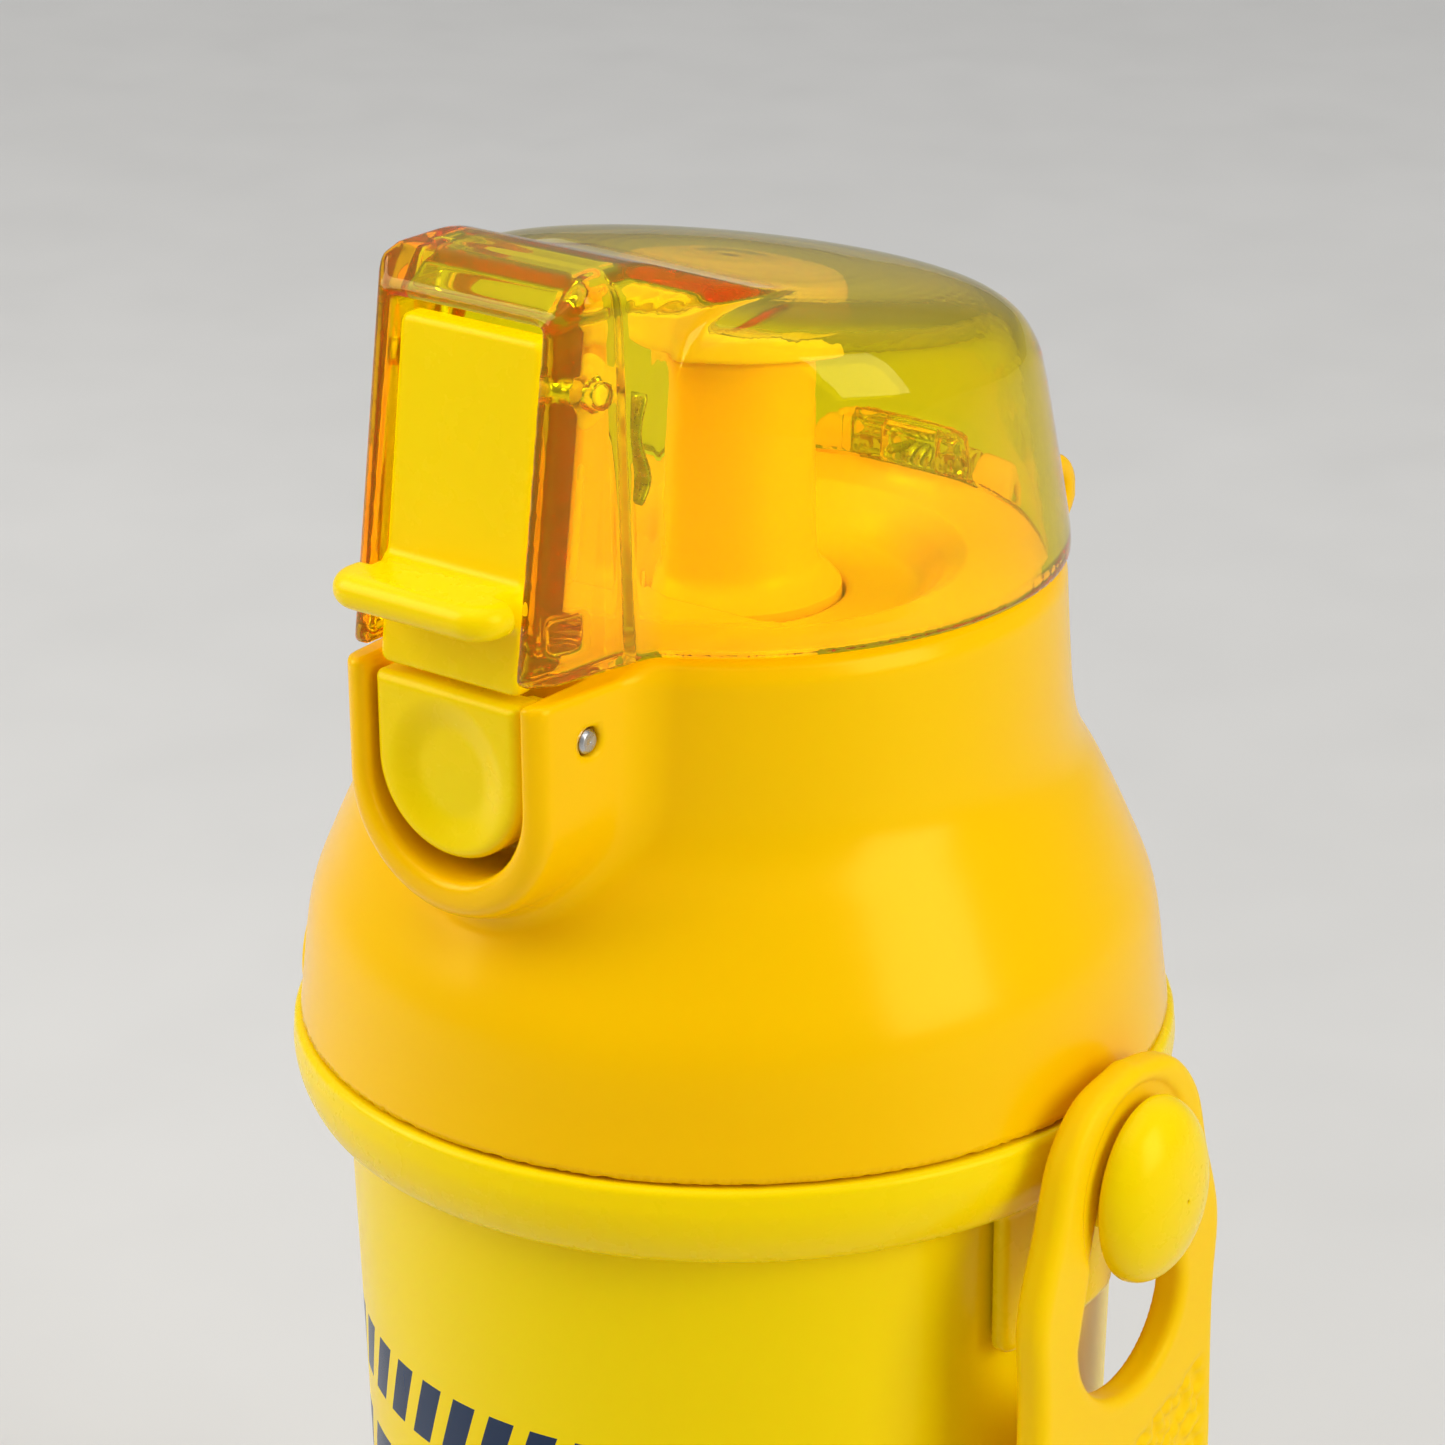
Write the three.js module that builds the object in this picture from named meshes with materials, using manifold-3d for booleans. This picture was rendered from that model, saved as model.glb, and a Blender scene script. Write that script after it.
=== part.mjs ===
// Kids water bottle with a one-push lid: bottle, strap ring with swivelling strap ends, screw cap
// with a drinking spout, transparent sprung lid, push button and swing-out lock lever.
// Millimetres, +Z up. The origin is the centre of the base, the button faces -Y, the studs lie on X.
import * as THREE from "three";
import { mergeVertices } from "three/addons/utils/BufferGeometryUtils.js";
import Module from "manifold-3d";

const wasm = await Module();
wasm.setup();

// ---- Driving dimensions -------------------------------------------------------------------
const GAP = 0.3; // clearance between neighbouring pieces
const ROUND = 36; // facets round a large turned piece
const SMALL_ROUND = 20; // facets round a pin, post or coil

const SEAM_Z = 107.4; // joint line between the cap and the strap ring
const BODY_WALL = 1.8;
const BODY_BASE_R = 31;
const BODY_TOP_R = 32.6;
const SHOULDER_Z = SEAM_Z - 2.5;
const NECK_R = 26.5;
const NECK_TOP_Z = SEAM_Z + 12;

const THREAD = { pitch: 6, height: 1.5, rootHalf: 1.5, crestHalf: 0.6, facets: 36 };
const NECK_THREAD = { startZ: SEAM_Z + 2.6, startTurn: 0, turns: 1.25 };
const CAP_THREAD = { startZ: SEAM_Z + 4.1, startTurn: -0.25, turns: 1 };

const RING_R = 37;
const STUD_Z = SEAM_Z - 6;
const STUD_POST_R = 4.2;
const STRAP_INNER_X = RING_R + 0.5;
const STRAP_THICK = 3;
const STRAP_DROP = 54.5; // from the stud axis to the bottom edge of a strap end
const WEBBING_SLOT = { low: 5.2, high: 11.6, half: 10.5 }; // heights above that edge
const LEFT_SWING = THREE.MathUtils.degToRad(30); // the left strap end hangs swung back
const STUD_HEAD_X = STRAP_INNER_X + STRAP_THICK + 0.4;

const CAP_WALL = 2;
const DECK_Z = SEAM_Z + 39.2;
const DISH_Z = SEAM_Z + 36;
const LINER_PLATE_Z = SEAM_Z + 14; // underside of the liner's top plate
const LINER_BORE_R = 28.5;
const CHIMNEY_TOP_Z = DISH_Z - 5.6;
const VENT_Y = 17;
const SPOUT_TOP_Z = SEAM_Z + 57.2;
const SPOUT_R = 6.8;
const SPOUT_BORE_R = 4.6;

const HOUSING_TOP_Z = SEAM_Z + 38.3;
const HOUSING_ARC_Z = SEAM_Z + 28.9;
const HOUSING_PLAN = [[-20, 11.4], [-34.6, 10], [-36, 9.1]]; // y and half width, from back to front
const POCKET = { half: 7.75, backY: -28.2, arcZ: SEAM_Z + 29.85 };
const BUTTON = { half: 7.2, faceY: -35.3, backY: -32.4, topZ: SEAM_Z + 37.6, arcZ: SEAM_Z + 31 };
const BUTTON_AXIS = { y: -30.5, z: SEAM_Z + 34.3, pinR: 1 };
const BUTTON_SPRING = { z: SEAM_Z + 28.2, frontY: -32.6, backY: -28.8, r: 1.7 };

const LID_Z = SEAM_Z + 39.6; // lower edge of the lid
const LID_R = 27.4;
const LID_WALL = 2;
const LID_TOP_Z = SEAM_Z + 69.6;
const ROOF_TILT = 0.16; // the roof rises towards the front
const BOX_LEAN = 0.15; // the front block leans back, mm of y for each mm of z
const BOX_FRONT_Y = -35.6;
const WINDOW = { half: 7.3, topZ: SEAM_Z + 66.2, backY: -25 };

const HINGE = { y: 29.5, z: SEAM_Z + 38.2, earR: 3.2, pinR: 1.2, half: 11.9 };
const KNUCKLE = { inner: 3, outer: 6.3 };

const LEVER = { half: 7, topZ: SEAM_Z + 65, bottomZ: SEAM_Z + 38.2, thick: 2, footY: -34.8, lean: 0.14 };
const LEDGE = { low: SEAM_Z + 43.8, high: SEAM_Z + 46.6, half: 8.2, reach: -39.9, corner: 2.8 };
const LEVER_AXIS = { y: -27.4, z: SEAM_Z + 60.5, pinR: 1, earR: 3 };

// ---- Colours ------------------------------------------------------------------------------
const finish = (color, roughness, metalness = 0, extra = {}) =>
  new THREE.MeshStandardMaterial({ color, roughness, metalness, ...extra });
const LEMON = finish(0xf4de00, 0.35);
const GOLDEN = finish(0xf9b800, 0.28);
const SOFT_GOLD = finish(0xf8b400, 0.55);
const AMBER_CLEAR = finish(0xd9c800, 0.08, 0, { transparent: true, opacity: 0.45 });
const SILICONE = finish(0xf0ead0, 0.6);
const STEEL = finish(0x9a9a98, 0.3, 1);

// ---- Geometry helpers ---------------------------------------------------------------------
const point = (x, y) => new THREE.Vector2(x, y);
const points = (list) => list.map(([x, y]) => point(x, y));

// A closed three.js geometry as a manifold-3d solid.
function solid(geometry) {
  const bare = geometry.clone();
  bare.deleteAttribute("normal");
  bare.deleteAttribute("uv");
  const welded = mergeVertices(bare, 1e-4);
  const corner = welded.index.array;
  const triangles = [];
  for (let i = 0; i < corner.length; i += 3) {
    const [a, b, c] = [corner[i], corner[i + 1], corner[i + 2]];
    if (a !== b && b !== c && c !== a) triangles.push(a, b, c);
  }
  const vertProperties = welded.getAttribute("position").array;
  const triVerts = new Uint32Array(triangles);
  return new wasm.Manifold(new wasm.Mesh({ numProp: 3, vertProperties, triVerts }));
}

// A manifold-3d solid as a three.js mesh.
function pieceOf(name, material, body) {
  const { vertProperties, triVerts } = body.getMesh();
  const geometry = new THREE.BufferGeometry();
  geometry.setAttribute("position", new THREE.BufferAttribute(vertProperties, 3));
  geometry.setIndex(new THREE.BufferAttribute(triVerts, 1));
  geometry.computeVertexNormals();
  const mesh = new THREE.Mesh(geometry, material);
  mesh.name = name;
  return mesh;
}

// A profile of [radius, z] points turned about the Z axis. It closes on itself unless it
// starts and ends on the axis.
function turned(profile, facets = ROUND) {
  const closed = profile[0][0] > 0 ? [...profile, profile[0]] : profile;
  return new THREE.LatheGeometry(points(closed), facets).rotateX(Math.PI / 2);
}

// A smooth run of [a, b] points through a few given ones.
function smooth(list, count) {
  return new THREE.SplineCurve(points(list)).getPoints(count).map((p) => [p.x, p.y]);
}

// An arc of [a, b] points about a centre; angles in degrees.
function arc(a, b, radius, from, to, count) {
  return Array.from({ length: count + 1 }, (_, i) => {
    const angle = THREE.MathUtils.degToRad(from + ((to - from) * i) / count);
    return [a + radius * Math.cos(angle), b + radius * Math.sin(angle)];
  });
}

const AXES = {
  x: new THREE.Matrix4().makeBasis(
    new THREE.Vector3(0, 1, 0), new THREE.Vector3(0, 0, 1), new THREE.Vector3(1, 0, 0)),
  y: new THREE.Matrix4().makeBasis(
    new THREE.Vector3(-1, 0, 0), new THREE.Vector3(0, 0, 1), new THREE.Vector3(0, 1, 0)),
  z: new THREE.Matrix4(),
};

// An outline pushed along an axis from low to high. Outlines are [y, z] for x, [-x, z] for y
// and [x, y] for z. Holes are outlines too.
function prism(axis, outline, low, high, holes = []) {
  const shape = new THREE.Shape(points(outline));
  shape.holes = holes.map((hole) => new THREE.Path(points(hole)));
  const geometry = new THREE.ExtrudeGeometry(shape, { depth: high - low, bevelEnabled: false });
  return geometry.translate(0, 0, low).applyMatrix4(AXES[axis]);
}

const block = (x, y, z) =>
  solid(prism("z", [[x[0], y[0]], [x[1], y[0]], [x[1], y[1]], [x[0], y[1]]], z[0], z[1]));

// A round bar along X.
function barX(y, z, radius, low, high, facets = SMALL_ROUND) {
  return solid(prism("x", arc(y, z, radius, 0, 360 - 360 / facets, facets - 1), low, high));
}

// Rings of equal numbers of points joined into one closed skin, with a fan over each end.
function skin(rings) {
  const count = rings[0].length;
  const place = [];
  const faces = [];
  rings.flat().forEach((p) => place.push(...p));
  for (let r = 0; r + 1 < rings.length; r += 1) {
    for (let i = 0; i < count; i += 1) {
      const next = (i + 1) % count;
      const [a, b] = [r * count + i, r * count + next];
      faces.push(a, b, b + count, a, b + count, a + count);
    }
  }
  const last = (rings.length - 1) * count;
  for (let i = 1; i + 1 < count; i += 1) {
    faces.push(0, i + 1, i, last, last + i, last + i + 1);
  }
  const geometry = new THREE.BufferGeometry();
  geometry.setAttribute("position", new THREE.Float32BufferAttribute(place, 3));
  geometry.setIndex(faces);
  return geometry;
}

// A helical ridge on a wall of the given radius; side is 1 for an outside thread, -1 for inside.
function thread(radius, side, { startZ, startTurn, turns }) {
  const { pitch, height, rootHalf, crestHalf, facets } = THREAD;
  const steps = Math.round(turns * facets);
  const rings = Array.from({ length: steps + 1 }, (_, i) => {
    const turn = (turns * i) / steps;
    const angle = 2 * Math.PI * (startTurn + turn);
    const z = startZ + pitch * turn;
    const fade = Math.min(1, Math.min(i, steps - i) / 3 + 0.25);
    const root = radius - side * 0.5;
    const crest = radius + side * height * fade;
    const section = [[root, -rootHalf], [crest, -crestHalf], [crest, crestHalf], [root, rootHalf]];
    if (side < 0) section.reverse();
    return section.map(([r, dz]) => [r * Math.cos(angle), r * Math.sin(angle), z + dz]);
  });
  return solid(skin(rings.reverse()));
}

// A wire coil with its axis along the given direction.
class Helix extends THREE.Curve {
  constructor(radius, length, turns) {
    super();
    Object.assign(this, { radius, length, turns });
  }
  getPoint(t, target = new THREE.Vector3()) {
    const angle = 2 * Math.PI * this.turns * t;
    return target.set(this.radius * Math.cos(angle), this.radius * Math.sin(angle), this.length * t);
  }
}

function coil(radius, length, turns, wireR) {
  const section = new THREE.Shape(points(arc(0, 0, wireR, 0, 300, 5)));
  const path = new Helix(radius, length, turns);
  return new THREE.ExtrudeGeometry(section, { steps: Math.round(turns * 12), extrudePath: path });
}

// ---- Bottle -------------------------------------------------------------------------------
function bottleBody() {
  const corner = 4;
  const outer = [
    ...arc(BODY_BASE_R - corner, corner, corner, -90, 0, 4),
    ...smooth([[31.35, 40], [31.75, 67], [32.3, 89], [BODY_TOP_R, SEAM_Z - 7.5]], 5),
    ...arc(BODY_TOP_R - 2, SHOULDER_Z - 2, 2, 0, 90, 3),
    [NECK_R, SHOULDER_Z],
    [NECK_R, NECK_TOP_Z],
  ];
  const inner = [
    [NECK_R - BODY_WALL, NECK_TOP_Z],
    [NECK_R - BODY_WALL, SHOULDER_Z - BODY_WALL - 1],
    [BODY_TOP_R - BODY_WALL - 2, SHOULDER_Z - BODY_WALL - 1.5],
    [BODY_TOP_R - BODY_WALL, SHOULDER_Z - BODY_WALL - 4],
    [31.35 - BODY_WALL, 40],
    ...arc(BODY_BASE_R - corner, corner, corner - BODY_WALL, 0, -90, 3),
    [0, BODY_WALL],
  ];
  const groove = [[24.5, 0], [23, 0.7], [15.5, 0.7], [14, 0]]; // shallow ring under the base
  const shell = solid(turned([[0, 0], ...groove.reverse(), ...outer, ...inner]));
  return shell.add(thread(NECK_R, 1, NECK_THREAD));
}

// ---- Strap ring, studs and strap ends -------------------------------------------------------
function strapRing() {
  const innerR = BODY_TOP_R + GAP;
  const lipR = RING_R - 0.2;
  const band = solid(turned([
    [NECK_R + 0.4, SHOULDER_Z + GAP],
    [innerR, SHOULDER_Z + GAP],
    [innerR, SEAM_Z - 7.7],
    ...smooth([[innerR + 0.4, SEAM_Z - 7.9], [35.6, SEAM_Z - 6.6], [36.7, SEAM_Z - 4.3],
      [RING_R, SEAM_Z - 2.3], [lipR, SEAM_Z - 0.9]], 7),
    [lipR - 0.4, SEAM_Z - GAP],
    [NECK_R + 0.4, SEAM_Z - GAP],
  ]));
  const tabs = solid(turned([[innerR, SEAM_Z - 20.5], [innerR + 1.3, SEAM_Z - 20.5],
    [innerR + 1.3, SEAM_Z - 5.5], [innerR, SEAM_Z - 5.5]]))
    .intersect(block([-40, 40], [-8, 8], [SEAM_Z - 30, SEAM_Z]));
  const posts = [-1, 1].map((side) => {
    const [low, high] = [33.8 * side, (STUD_HEAD_X - GAP) * side].sort((a, b) => a - b);
    return barX(0, STUD_Z, STUD_POST_R, low, high);
  });
  return band.add(tabs).add(posts[0]).add(posts[1]);
}

// An oval domed head that snaps onto the end of the post.
function strapStud(side) {
  const halfY = 6.6;
  const halfZ = 7.9;
  const rise = 4.4;
  const flat = [[0, 0], [0.94, 0], [1, 0.12]];
  const dome = arc(0, 0.12, 1, 0, 90, 4).slice(1).map(([r, h]) => [r, 0.12 + (h - 0.12) * 0.88]);
  dome[dome.length - 1][0] = 0;
  const head = new THREE.LatheGeometry(points([...flat, ...dome]), SMALL_ROUND + 4);
  head.rotateZ(-Math.PI / 2).scale(rise, halfY, halfZ).translate(STUD_HEAD_X, 0, STUD_Z);
  if (side < 0) head.rotateZ(Math.PI);
  return solid(head);
}

// The soft end piece: a ring round the stud that widens into a tab with a webbing slot.
function strapEnd(side) {
  const half = [[0, 10.3], [5.6, 9], [9.2, 5.2], [11, -0.5], [13.1, -7.5], [12.7, -15.5], [13, -28.5]];
  const left = smooth(half, 14).slice(1);
  const foot = arc(13 - 5, -STRAP_DROP + 5, 5, 0, -90, 4);
  const rightSide = [...left, ...foot];
  const mirrored = rightSide.map(([y, z]) => [-y, z]).reverse();
  const outline = [half[0], ...rightSide, ...mirrored];
  const hole = [...arc(0, 0, STUD_POST_R + 0.5, 20, 160, 6), ...arc(0, -11.5, 7.4, 180, 360, 10)];
  const slot = [[-1, "low"], [1, "low"], [1, "high"], [-1, "high"]]
    .map(([way, edge]) => [way * WEBBING_SLOT.half, WEBBING_SLOT[edge] - STRAP_DROP]);
  const plate = prism("x", outline, STRAP_INNER_X, STRAP_INNER_X + STRAP_THICK, [hole, slot]);
  if (side < 0) plate.rotateZ(Math.PI).rotateX(LEFT_SWING);
  plate.translate(0, 0, STUD_Z);
  return solid(plate);
}

// ---- Cap ----------------------------------------------------------------------------------
// U outline with a round bottom, as [across, z] points.
const uOutline = (half, arcZ, topZ) => [[half, topZ], [-half, topZ], ...arc(0, arcZ, half, 180, 360, 12)];

function buttonHousing() {
  const rings = HOUSING_PLAN.map(([y, half]) =>
    uOutline(half, HOUSING_ARC_Z, HOUSING_TOP_Z).map(([x, z]) => [x, y, z]));
  const outer = solid(skin(rings));
  const pocket = solid(prism("y", uOutline(POCKET.half, POCKET.arcZ, DECK_Z + 2), -40, POCKET.backY));
  return outer.subtract(pocket);
}

// One rear ear: a round barrel carried by an arm that runs down into the neck.
function hingeEar(side) {
  const { y, z, earR, half, pinR } = HINGE;
  const [low, high] = [(KNUCKLE.outer + GAP) * side, half * side].sort((a, b) => a - b);
  const arm = prism("x", [[22, z - 12], [27.5, z - 11], [y + earR, z], ...arc(y, z, earR, 15, 165, 6),
    [y - earR, z - 1.2], [22, z - 1.2]], low, high);
  return solid(arm).subtract(barX(y, z, pinR + 0.25, low - 1, high - side * 0.01 + 1));
}

function capShell() {
  const outline = smooth([[36.3, 0], [35.9, 3.2], [35, 9.8], [33, 15], [30.6, 20.1], [28.7, 23.6],
    [27.9, 27], [27.5, 32], [27.2, 37.6]], 15);
  const outer = outline.map(([r, z]) => [r, SEAM_Z + z]);
  const inner = outline.map(([r, z]) => [r - CAP_WALL, SEAM_Z + z]).reverse();
  inner[0][1] = DECK_Z - CAP_WALL;
  const shell = solid(turned([
    ...outer,
    [26, DECK_Z],
    [18.6, DECK_Z],
    [17.6, DECK_Z - 0.8],
    [16.4, DISH_Z + 1.2],
    [15, DISH_Z],
    [9.3, DISH_Z],
    [9.3, DISH_Z - CAP_WALL + 0.2],
    [17.2, DISH_Z - CAP_WALL + 0.2],
    [19, DECK_Z - CAP_WALL],
    ...inner,
  ]));
  const core = solid(turned([[0, SEAM_Z + 5], ...[...inner].reverse().slice(2), [0, DECK_Z - CAP_WALL]]));
  const pinHole = barX(BUTTON_AXIS.y, BUTTON_AXIS.z, BUTTON_AXIS.pinR + 0.25, -14, 14);
  const added = buttonHousing().add(hingeEar(1)).add(hingeEar(-1)).subtract(core).subtract(pinHole);
  const knuckleRoom = barX(HINGE.y, HINGE.z, HINGE.earR + 0.5, -KNUCKLE.outer - GAP, KNUCKLE.outer + GAP);
  return shell.add(added).subtract(knuckleRoom);
}

// The threaded liner inside the shell, with a chimney that feeds the spout.
function capLiner() {
  const plateTop = LINER_PLATE_Z + 2;
  const body = solid(turned([
    [LINER_BORE_R, SEAM_Z + 0.4],
    [LINER_BORE_R + 1.6, SEAM_Z + 0.4],
    [LINER_BORE_R + 1.6, LINER_PLATE_Z - 0.6],
    [LINER_BORE_R + 0.8, plateTop],
    [7.4, plateTop],
    [7.4, CHIMNEY_TOP_Z - 2],
    [12, CHIMNEY_TOP_Z - 1.6],
    [12, CHIMNEY_TOP_Z],
    [5.2, CHIMNEY_TOP_Z],
    [5.2, LINER_PLATE_Z],
    [LINER_BORE_R, LINER_PLATE_Z],
  ]));
  const ventHole = solid(turned([[0, LINER_PLATE_Z - 1], [2.1, LINER_PLATE_Z - 1], [2.1, plateTop + 1],
    [0, plateTop + 1]], 12)).translate([0, VENT_Y, 0]);
  return body.add(thread(LINER_BORE_R, -1, CAP_THREAD)).subtract(ventHole);
}

// Silicone mushroom valve that lets air back into the bottle.
function ventValve() {
  const plateTop = LINER_PLATE_Z + 2;
  return solid(turned([
    [0, LINER_PLATE_Z - 2.2],
    [1.2, LINER_PLATE_Z - 2.2],
    [2.5, LINER_PLATE_Z - 0.3],
    [1.8, LINER_PLATE_Z - 0.3],
    [1.8, plateTop + 0.3],
    [4.2, plateTop + 0.3],
    [3, plateTop + 1.2],
    [0, plateTop + 1.4],
  ], 12)).translate([0, VENT_Y, 0]);
}

const capGasket = () =>
  solid(turned([[24.9, NECK_TOP_Z + GAP], [28, NECK_TOP_Z + GAP], [28, LINER_PLATE_Z - GAP],
    [24.9, LINER_PLATE_Z - GAP]]));

function spout() {
  const flangeZ = CHIMNEY_TOP_Z + 2;
  const base = 9;
  return solid(turned([
    [SPOUT_BORE_R, flangeZ],
    [12, flangeZ],
    [12, DISH_Z - CAP_WALL + 0.2 - GAP],
    [base, DISH_Z - CAP_WALL + 0.2 - GAP],
    [base, DISH_Z + 0.6],
    ...smooth([[base - 0.6, DISH_Z + 1.1], [7.1, DISH_Z + 2.4], [SPOUT_R + 0.1, DISH_Z + 4.6]], 4),
    [SPOUT_R, SPOUT_TOP_Z - 1.2],
    [SPOUT_R - 0.5, SPOUT_TOP_Z],
    [SPOUT_BORE_R, SPOUT_TOP_Z],
  ], 28));
}

const spoutGasket = () =>
  solid(turned([[5.4, CHIMNEY_TOP_Z + GAP], [11.4, CHIMNEY_TOP_Z + GAP], [11.4, CHIMNEY_TOP_Z + 2 - GAP],
    [5.4, CHIMNEY_TOP_Z + 2 - GAP]], 28));

// ---- Lid ----------------------------------------------------------------------------------
// The dome is turned, and then its roof is tilted so that it rises towards the front.
function tiltRoof(geometry) {
  const place = geometry.getAttribute("position");
  for (let i = 0; i < place.count; i += 1) {
    const z = place.getZ(i);
    const share = THREE.MathUtils.smoothstep(z, LID_Z + 4, LID_Z + 24);
    place.setZ(i, z - ROOF_TILT * share * place.getY(i));
  }
  return geometry;
}

function dome(inset, lowZ) {
  const rise = smooth([[27.35, 1.5], [26.2, 8.8], [25.1, 16], [24.3, 19.1], [22.5, 21.6], [19, 23.1],
    [12, 23.7], [4, 23.95]], 12);
  const wall = rise.map(([r, h]) => [r - inset, LID_Z + h - inset * THREE.MathUtils.smoothstep(h, 14, 24)]);
  return solid(tiltRoof(turned([[0, lowZ], [LID_R - inset, lowZ], ...wall, [0, LID_Z + 24 - inset]])));
}

// The front block as the common part of its side, plan and front outlines.
function frontBox(inset, lowZ) {
  const high = LID_TOP_Z - inset;
  const bevelZ = LID_Z + 27.4 - inset * 0.6;
  const bevelY = BOX_FRONT_Y + inset + BOX_LEAN * (bevelZ - LID_Z);
  const side = [[BOX_FRONT_Y + inset, LID_Z], [bevelY, bevelZ], [bevelY + 2.8, high], [-22.3, high - 0.1],
    [-12, LID_Z + 26 - inset], [-8, LID_Z + 18], [-8, lowZ], [BOX_FRONT_Y + inset, lowZ]];
  const halfPlan = [[8, BOX_FRONT_Y], [10, BOX_FRONT_Y + 1.6], [11, -29.4], [12, -24.4], [12, 0]];
  const right = halfPlan.map(([x, y]) => [x - inset, y]);
  const plan = [...right, ...right.map(([x, y]) => [-x, y]).reverse()];
  const front = [[-13, lowZ - 1], [13, lowZ - 1], [13, LID_Z + 25.6 - inset], [9, high + 0.1],
    [-9, high + 0.1], [-13, LID_Z + 25.6 - inset]];
  const leaning = new THREE.Matrix4().makeShear(0, 0, 0, 0, 0, BOX_LEAN).setPosition(0, -BOX_LEAN * LID_Z, 0);
  return solid(prism("x", side, -14, 14))
    .intersect(solid(prism("z", plan, lowZ - 1, high + 2).applyMatrix4(leaning)))
    .intersect(solid(prism("y", front, -45, 5)));
}

// Two knuckles on the hinge pin, joined to the block inside the rear of the dome.
function lidKnuckles() {
  const { y, z, earR } = HINGE;
  const outline = [[23.6, LID_Z + 0.4], [26.8, LID_Z + 0.1], ...arc(y, z, earR, -120, 110, 10),
    [26.4, LID_Z + 3.8], [23.6, LID_Z + 3.8]];
  const springRoom = block([-KNUCKLE.inner, KNUCKLE.inner], [y - 3.6, y + 4], [LID_Z - 6, LID_Z + 3]);
  return solid(prism("x", outline, -KNUCKLE.outer, KNUCKLE.outer)).subtract(springRoom);
}

// The catch hangs from a bar between the cheeks, down behind the push button.
function lidCatch() {
  const bar = block([-8.4, 8.4], [-31.6, -28.8], [LID_Z + 1.6, LID_Z + 4]);
  const tongue = prism("x", [[-30.1, LID_Z - 3.6], [-31.2, LID_Z - 3.6], [-31.9, LID_Z - 2.8],
    [-31.2, LID_Z - 2.2], [-31.2, LID_Z + 2], [-30.1, LID_Z + 2]], -3.5, 3.5);
  return bar.add(solid(tongue));
}

function lidShell() {
  const low = LID_Z - 5;
  const cheeks = frontBox(0, LID_Z).intersect(block([-14, 14], [-45, WINDOW.backY], [LID_Z, LID_Z + 60]));
  const window = block([-WINDOW.half, WINDOW.half], [-45, WINDOW.backY + 1], [low, WINDOW.topZ]);
  const boss = solid(turned([[4.4, SEAM_Z + 59.8], [5.8, SEAM_Z + 59.8], [5.8, SEAM_Z + 62.2],
    [4.4, SEAM_Z + 62.2]], 24));
  const topRoom = frontBox(LID_WALL, low).intersect(block([-6.9, 6.9], [-45, 5], [WINDOW.topZ - 2, LID_TOP_Z]));
  const springRoom = block([-KNUCKLE.inner, KNUCKLE.inner], [HINGE.y - 3.6, 34], [low, LID_Z + 3]);
  const pinHole = barX(HINGE.y, HINGE.z, HINGE.pinR + 0.25, -14, 14);
  const earRoom = barX(HINGE.y, HINGE.z, HINGE.earR + 0.4, -HINGE.half - GAP, HINGE.half + GAP);
  const leverHole = barX(LEVER_AXIS.y, LEVER_AXIS.z, LEVER_AXIS.pinR + 0.25, -9.3, 9.3);
  return dome(0, LID_Z).add(frontBox(0, LID_Z))
    .subtract(dome(LID_WALL, low).add(frontBox(LID_WALL, low)))
    .subtract(earRoom)
    .add(cheeks)
    .subtract(window)
    .subtract(topRoom)
    .add(boss)
    .add(lidKnuckles())
    .subtract(springRoom)
    .subtract(pinHole)
    .add(lidCatch())
    .subtract(leverHole);
}

const lidStopper = () =>
  solid(turned([[0, SPOUT_TOP_Z + GAP], [7.8, SPOUT_TOP_Z + GAP], [8.7, SPOUT_TOP_Z + 0.9],
    [8.7, SPOUT_TOP_Z + 2], [8.1, SEAM_Z + 59.5], [4, SEAM_Z + 59.5], [4, SEAM_Z + 60.4],
    [0, SEAM_Z + 60.4]], 28));

// ---- Hinge, button and lock ----------------------------------------------------------------
const hingePin = () => barX(HINGE.y, HINGE.z, HINGE.pinR, -HINGE.half + 0.4, HINGE.half - 0.4, 12);

// Torsion spring round the hinge pin, with a leg that bears on the lid.
function hingeSpring() {
  const wireR = 0.45;
  const r = HINGE.pinR + 0.3 + wireR;
  const length = 2 * KNUCKLE.inner - 1.4;
  const wire = coil(r, length, 3.5, wireR).rotateY(Math.PI / 2);
  const turns = solid(wire.translate(-length / 2, HINGE.y, HINGE.z));
  const lidLeg = block([length / 2 - 0.9, length / 2], [HINGE.y - 3.2, HINGE.y + 0.3],
    [HINGE.z + r - 0.4, HINGE.z + r + 0.4]);
  return turns.add(lidLeg);
}

// The pad is pushed at its lower half and rocks on the pin.
function pushButton() {
  const { half, faceY, backY, topZ, arcZ } = BUTTON;
  const { y, z, pinR } = BUTTON_AXIS;
  const pad = solid(prism("y", uOutline(half, arcZ, topZ), faceY, backY));
  const thumbDish = solid(new THREE.SphereGeometry(18, 28, 18).translate(0, faceY - 17.3, arcZ - 0.6));
  const lug = [[backY - 0.5, z - 2.4], [y, z - 2.2], ...arc(y, z, 2.2, -60, 90, 5),
    [backY - 0.5, z + 2.2]];
  const lugs = [[-6.4, -3.9], [3.9, 6.4]].map(([low, high]) =>
    solid(prism("x", lug, low, high)).subtract(barX(y, z, pinR + 0.25, low - 1, high + 1)));
  const springSeat = solid(prism("y", arc(0, BUTTON_SPRING.z, BUTTON_SPRING.r + 0.9, 0, 330, 11),
    BUTTON_SPRING.frontY - 1.2, backY + 1));
  return pad.subtract(thumbDish).add(lugs[0]).add(lugs[1]).subtract(springSeat);
}

const buttonPin = () => barX(BUTTON_AXIS.y, BUTTON_AXIS.z, BUTTON_AXIS.pinR, -10.3, 10.3, 12);

function buttonSpring() {
  const { z, frontY, backY, r } = BUTTON_SPRING;
  return solid(coil(r, backY - frontY, 3.5, 0.3).rotateX(-Math.PI / 2).translate(0, frontY, z));
}

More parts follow.
